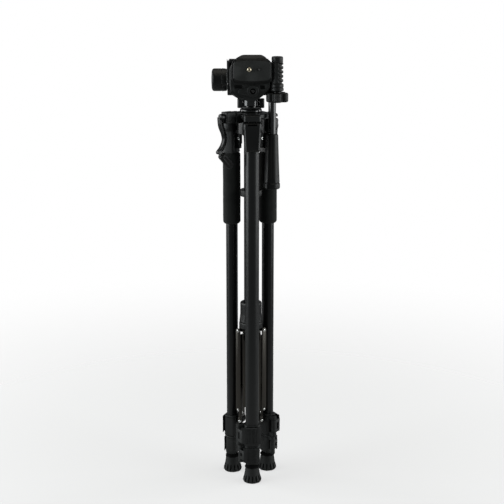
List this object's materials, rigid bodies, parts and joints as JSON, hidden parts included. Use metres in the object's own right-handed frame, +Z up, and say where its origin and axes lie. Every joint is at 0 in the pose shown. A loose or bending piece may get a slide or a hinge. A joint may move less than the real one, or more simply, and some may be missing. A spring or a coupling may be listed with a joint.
{
  "type": "camera tripod",
  "caption": "Folded aluminium camera tripod with telescoping flip-lock legs, a braced and cranked centre column, and a pan-and-tilt head with a quick-release plate.",
  "frame": {"origin": "floor level under the centre of the folded tripod's bounding box; the centre column's axis stands 1.5 mm to +X and 7.3 mm to +Y of it", "axes": "+Z up along the centre column, -Y towards the front leg, the raised camera plate and the camera screw, +X towards the pan handle"},
  "size_m": [0.1175, 0.0905, 0.6958],
  "materials": {
    "casting": "satin black moulding with a light sheen",
    "tube": "black anodised aluminium with long soft highlights",
    "foam": "dull black foam grip",
    "plastic": "fine matte black",
    "gloss": "polished black",
    "rubber": "matte moulded rubber",
    "strut": "dark bronze pressed metal",
    "steel": "bright plated screw",
    "pin": "dark steel"
  },
  "bodies": {
    "spider_body": {"spider": "casting", "centre_sleeve": "tube", "sleeve_ring": "plastic", "crank_housing": "casting"},
    "front_leg": {"front_leg_casting": "casting", "front_upper_tube": "tube", "front_upper_lock_collar": "plastic"},
    "front_middle_section": {"front_middle_tube": "tube", "front_lower_lock_collar": "plastic"},
    "front_lower_section": {"front_lower_tube": "tube", "front_foot": "rubber"},
    "front_upper_lever": {"front_upper_lock_lever": "plastic"},
    "front_lower_lever": {"front_lower_lock_lever": "plastic"},
    "front_strut": {"front_strut_channel": "strut"},
    "front_link": {"front_strut_link": "strut"},
    "right_leg": {"right_leg_casting": "casting", "right_upper_tube": "tube", "right_upper_lock_collar": "plastic", "right_foam_sleeve": "foam"},
    "right_middle_section": {"right_middle_tube": "tube", "right_lower_lock_collar": "plastic"},
    "right_lower_section": {"right_lower_tube": "tube", "right_foot": "rubber"},
    "right_upper_lever": {"right_upper_lock_lever": "plastic"},
    "right_lower_lever": {"right_lower_lock_lever": "plastic"},
    "right_strut": {"right_strut_channel": "strut"},
    "right_link": {"right_strut_link": "strut"},
    "left_leg": {"left_leg_casting": "casting", "left_upper_tube": "tube", "left_upper_lock_collar": "plastic", "left_foam_sleeve": "foam"},
    "left_middle_section": {"left_middle_tube": "tube", "left_lower_lock_collar": "plastic"},
    "left_lower_section": {"left_lower_tube": "tube", "left_foot": "rubber"},
    "left_upper_lever": {"left_upper_lock_lever": "plastic"},
    "left_lower_lever": {"left_lower_lock_lever": "plastic"},
    "left_strut": {"left_strut_channel": "strut"},
    "left_link": {"left_strut_link": "strut"},
    "hub": {"brace_hub": "gloss"},
    "column": {"centre_column": "tube", "column_flange": "gloss"},
    "crank": {"crank_arm": "plastic"},
    "crank_handle": {"crank_knob": "plastic"},
    "pan_lock": {"pan_lock_ring": "plastic"},
    "pan": {"pan_base": "gloss"},
    "tilt": {"tilt_frame": "casting", "side_tilt_bracket": "casting", "pan_handle_rod": "gloss"},
    "drag_knob": {"tilt_drag_knob": "plastic"},
    "side_tilt_clamp": {"side_tilt_knob": "plastic"},
    "grip": {"pan_handle_grip": "plastic"},
    "platform": {"camera_platform": "plastic"},
    "release_lever": {"plate_release_lever": "plastic"},
    "plate": {"quick_release_plate": "plastic", "plate_rubber_pad": "rubber"},
    "screw": {"camera_screw": "steel"},
    "pin": {"locating_pin": "pin"}
  },
  "joints": [
    {"name": "front_leg_spread", "type": "hinge", "parent": "spider_body", "child": "front_leg", "pos_m": [0.00367, -0.02813, 0.5865], "axis": [-0.9981, -0.061, 0], "range_deg": [0, 16]},
    {"name": "right_leg_spread", "type": "hinge", "parent": "spider_body", "child": "right_leg", "pos_m": [0.0304, 0.02791, 0.5865], "axis": [0.5807, -0.8141, 0], "range_deg": [0, 16.1]},
    {"name": "left_leg_spread", "type": "hinge", "parent": "spider_body", "child": "left_leg", "pos_m": [-0.0308, 0.02202, 0.5865], "axis": [0.4147, 0.91, 0], "range_deg": [0, 16.1]},
    {"name": "hub_slide", "type": "slide", "parent": "spider_body", "child": "hub", "axis": [0, 0, -1], "range_m": [0, 0.067]},
    {"name": "front_strut_swing", "type": "hinge", "parent": "hub", "child": "front_strut", "pos_m": [0.00251, -0.00917, 0.2485], "axis": [-0.9981, -0.061, 0], "range_deg": [0, 61]},
    {"name": "front_link_swing", "type": "hinge", "parent": "front_leg", "child": "front_link", "pos_m": [0.00251, -0.00917, 0.091], "axis": [-0.9981, -0.061, 0], "range_deg": [0, 45]},
    {"name": "right_strut_swing", "type": "hinge", "parent": "hub", "child": "right_strut", "pos_m": [0.01493, 0.01688, 0.2485], "axis": [0.5807, -0.8141, 0], "range_deg": [0, 61]},
    {"name": "right_link_swing", "type": "hinge", "parent": "right_leg", "child": "right_link", "pos_m": [0.01493, 0.01688, 0.091], "axis": [0.5807, -0.8141, 0], "range_deg": [0, 45]},
    {"name": "left_strut_swing", "type": "hinge", "parent": "hub", "child": "left_strut", "pos_m": [-0.01351, 0.01414, 0.2485], "axis": [0.4147, 0.91, 0], "range_deg": [0, 61]},
    {"name": "left_link_swing", "type": "hinge", "parent": "left_leg", "child": "left_link", "pos_m": [-0.01351, 0.01414, 0.091], "axis": [0.4147, 0.91, 0], "range_deg": [0, 45]},
    {"name": "front_middle_slide", "type": "slide", "parent": "front_leg", "child": "front_middle_section", "axis": [0, 0, -1], "range_m": [0, 0.36]},
    {"name": "front_lower_slide", "type": "slide", "parent": "front_middle_section", "child": "front_lower_section", "axis": [0, 0, -1], "range_m": [0, 0.33]},
    {"name": "front_upper_lever_flip", "type": "hinge", "parent": "front_leg", "child": "front_upper_lever", "pos_m": [-0.01784, -0.02544, 0.083], "axis": [0, 0, -1], "range_deg": [0, 100]},
    {"name": "front_lower_lever_flip", "type": "hinge", "parent": "front_middle_section", "child": "front_lower_lever", "pos_m": [-0.01487, -0.02476, 0.048], "axis": [0, 0, -1], "range_deg": [0, 100]},
    {"name": "right_middle_slide", "type": "slide", "parent": "right_leg", "child": "right_middle_section", "axis": [0, 0, -1], "range_m": [0, 0.36]},
    {"name": "right_lower_slide", "type": "slide", "parent": "right_middle_section", "child": "right_lower_section", "axis": [0, 0, -1], "range_m": [0, 0.33]},
    {"name": "right_upper_lever_flip", "type": "hinge", "parent": "right_leg", "child": "right_upper_lever", "pos_m": [0.03951, 0.00825, 0.083], "axis": [0, 0, -1], "range_deg": [0, 100]},
    {"name": "right_lower_lever_flip", "type": "hinge", "parent": "right_middle_section", "child": "right_lower_lever", "pos_m": [0.03736, 0.0104, 0.048], "axis": [0, 0, -1], "range_deg": [0, 100]},
    {"name": "left_middle_slide", "type": "slide", "parent": "left_leg", "child": "left_middle_section", "axis": [0, 0, -1], "range_m": [0, 0.36]},
    {"name": "left_lower_slide", "type": "slide", "parent": "left_middle_section", "child": "left_lower_section", "axis": [0, 0, -1], "range_m": [0, 0.33]},
    {"name": "left_upper_lever_flip", "type": "hinge", "parent": "left_leg", "child": "left_upper_lever", "pos_m": [-0.01833, 0.03975, 0.083], "axis": [0, 0, -1], "range_deg": [0, 100]},
    {"name": "left_lower_lever_flip", "type": "hinge", "parent": "left_middle_section", "child": "left_lower_lever", "pos_m": [-0.01912, 0.03681, 0.048], "axis": [0, 0, -1], "range_deg": [0, 100]},
    {"name": "column_lift", "type": "slide", "parent": "spider_body", "child": "column", "axis": [0, 0, 1], "range_m": [0, 0.25]},
    {"name": "crank_turn", "type": "hinge", "parent": "spider_body", "child": "crank", "pos_m": [-0.03921, -0.02174, 0.6], "axis": [0.8141, 0.5807, 0], "range_deg": [0, 956]},
    {"name": "crank_knob_fold", "type": "hinge", "parent": "crank", "child": "crank_handle", "pos_m": [-0.04775, -0.02783, 0.546], "axis": [-0.5807, 0.8141, 0], "range_deg": [0, 133]},
    {"name": "pan_lock_turn", "type": "hinge", "parent": "column", "child": "pan_lock", "pos_m": [0.0015, 0.0073, 0.611], "axis": [0, 0, 1], "range_deg": [-30, 30]},
    {"name": "pan_turn", "type": "hinge", "parent": "column", "child": "pan", "pos_m": [0.0015, 0.0073, 0.62], "axis": [0, 0, 1], "range_deg": [-25, 3]},
    {"name": "tilt_turn", "type": "hinge", "parent": "pan", "child": "tilt", "pos_m": [0.0015, 0.0073, 0.654], "axis": [-1, 0, 0], "range_deg": [0, 150]},
    {"name": "drag_knob_turn", "type": "hinge", "parent": "tilt", "child": "drag_knob", "pos_m": [-0.0475, 0.0073, 0.654], "axis": [1, 0, 0], "range_deg": [-90, 90]},
    {"name": "handle_grip_twist", "type": "hinge", "parent": "tilt", "child": "grip", "pos_m": [0.0345, -0.0047, 0.53], "axis": [0, 0, 1], "range_deg": [0, 90]},
    {"name": "side_tilt_knob_turn", "type": "hinge", "parent": "tilt", "child": "side_tilt_clamp", "pos_m": [0.0417, -0.0277, 0.632], "axis": [0, 0, 1], "range_deg": [0, 120]},
    {"name": "side_tilt_flip", "type": "hinge", "parent": "tilt", "child": "platform", "pos_m": [0.0417, -0.0277, 0.668], "axis": [0, 0, 1], "range_deg": [0, 90]},
    {"name": "release_lever_turn", "type": "hinge", "parent": "platform", "child": "release_lever", "pos_m": [0.0048, -0.0347, 0.6413], "axis": [0, -1, 0], "range_deg": [0, 50]},
    {"name": "plate_lift_off", "type": "slide", "parent": "platform", "child": "plate", "axis": [0, -1, 0], "range_m": [0, 0.02]},
    {"name": "camera_screw_turn", "type": "hinge", "parent": "plate", "child": "screw", "pos_m": [-0.0008, -0.0387, 0.6748], "axis": [0, -1, 0], "continuous": true},
    {"name": "locating_pin_press", "type": "slide", "parent": "plate", "child": "pin", "axis": [0, 1, 0], "range_m": [0, 0.0025], "stiffness_N_per_m": 200, "springref_m": -0.002}
  ],
  "couplings": [
    {"joint": "right_leg_spread", "follows": "front_leg_spread", "ratio": 1},
    {"joint": "left_leg_spread", "follows": "front_leg_spread", "ratio": 1},
    {"joint": "hub_slide", "follows": "front_leg_spread", "m_per_rad": 0.23777},
    {"joint": "front_strut_swing", "follows": "front_leg_spread", "ratio": 3.7921},
    {"joint": "front_link_swing", "follows": "front_leg_spread", "ratio": 2.7921},
    {"joint": "right_strut_swing", "follows": "front_leg_spread", "ratio": 3.7921},
    {"joint": "right_link_swing", "follows": "front_leg_spread", "ratio": 2.7921},
    {"joint": "left_strut_swing", "follows": "front_leg_spread", "ratio": 3.7921},
    {"joint": "left_link_swing", "follows": "front_leg_spread", "ratio": 2.7921},
    {"joint": "crank_turn", "follows": "column_lift", "rad_per_m": 66.7}
  ]
}
